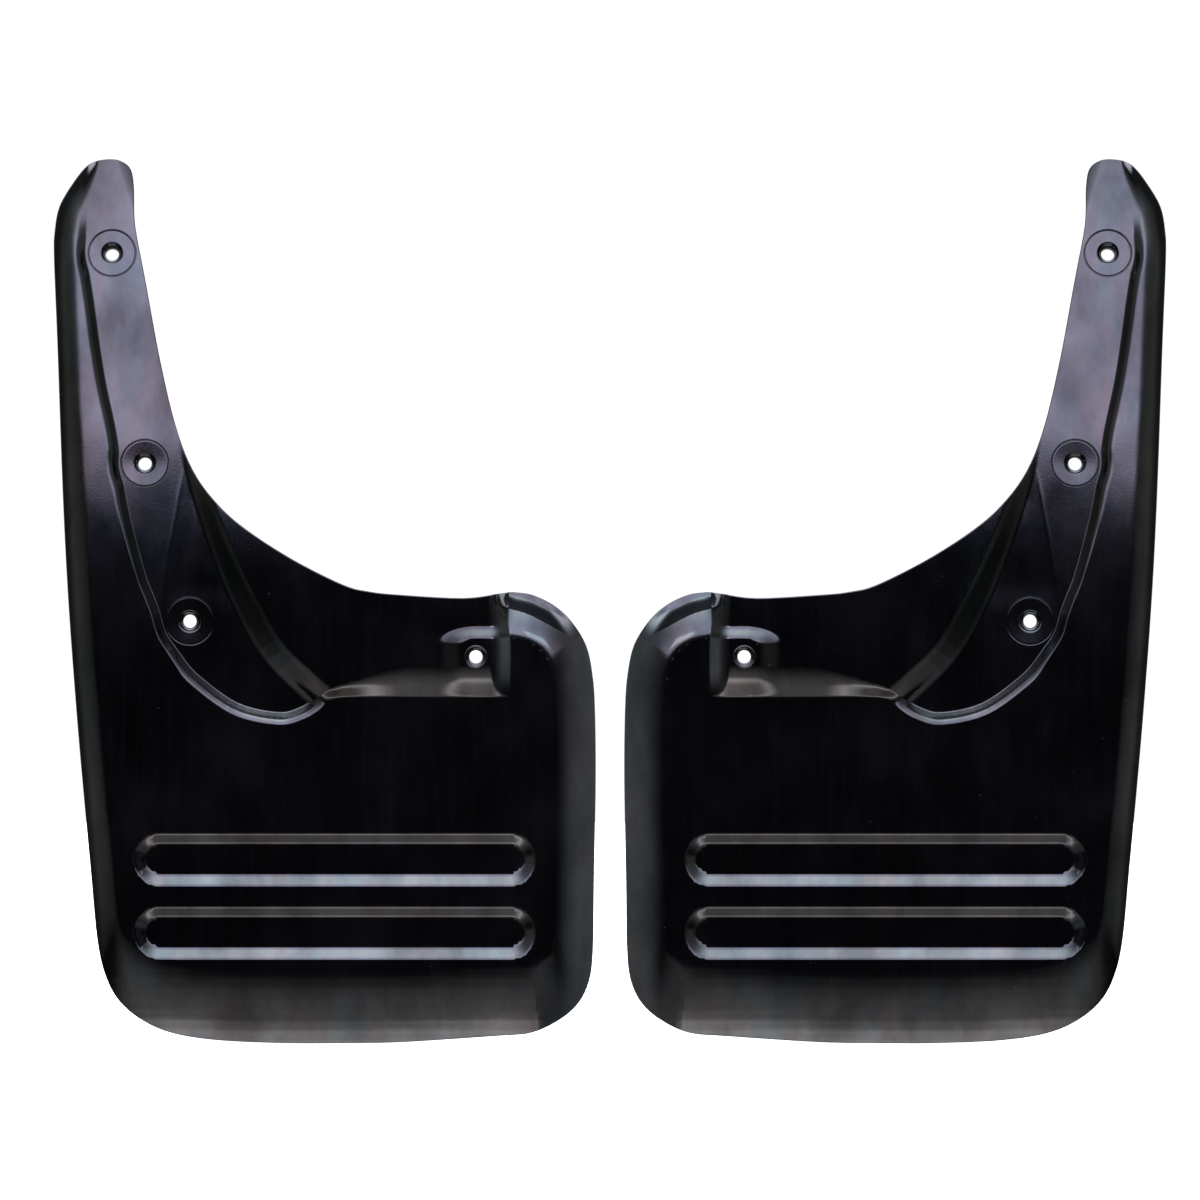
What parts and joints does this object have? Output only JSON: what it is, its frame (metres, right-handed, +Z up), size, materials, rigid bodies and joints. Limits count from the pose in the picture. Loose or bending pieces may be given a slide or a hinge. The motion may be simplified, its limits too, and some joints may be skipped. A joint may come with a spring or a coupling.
{
  "type": "mud flap",
  "caption": "Handed pair of moulded black mud flaps: tall leaning mounting arm, raised flange, recessed screw seats and a flexing lower panel with channels.",
  "frame": {"origin": "midway between the two flaps, level with their bottom edges, at the middle of the pair's overall depth", "axes": "+X across the vehicle towards the flap called right, -Y the way the shown face looks, +Z up as the flaps hang"},
  "size_m": [0.6292, 0.0597, 0.4985],
  "materials": {
    "flap_rubber": "semi-gloss moulded",
    "seat_rubber": "semi-gloss, turned rings"
  },
  "bodies": {
    "vehicle_side": {"left_mounting_section": "flap_rubber", "left_seat_top": "seat_rubber", "left_seat_middle": "seat_rubber", "left_seat_bottom": "seat_rubber", "left_seat_inner": "seat_rubber", "right_mounting_section": "flap_rubber", "right_seat_top": "seat_rubber", "right_seat_middle": "seat_rubber", "right_seat_bottom": "seat_rubber", "right_seat_inner": "seat_rubber"},
    "left_panel": {"left_lower_panel": "flap_rubber"},
    "right_panel": {"right_lower_panel": "flap_rubber"}
  },
  "joints": [
    {"name": "left_panel_flex", "type": "hinge", "parent": "vehicle_side", "child": "left_panel", "pos_m": [-0.153, -0.0196, 0.156], "axis": [1, 0, 0], "range_deg": [-25, 25], "stiffness_Nm_per_rad": 2},
    {"name": "right_panel_flex", "type": "hinge", "parent": "vehicle_side", "child": "right_panel", "pos_m": [0.153, -0.0196, 0.156], "axis": [1, 0, 0], "range_deg": [-25, 25], "stiffness_Nm_per_rad": 2}
  ]
}
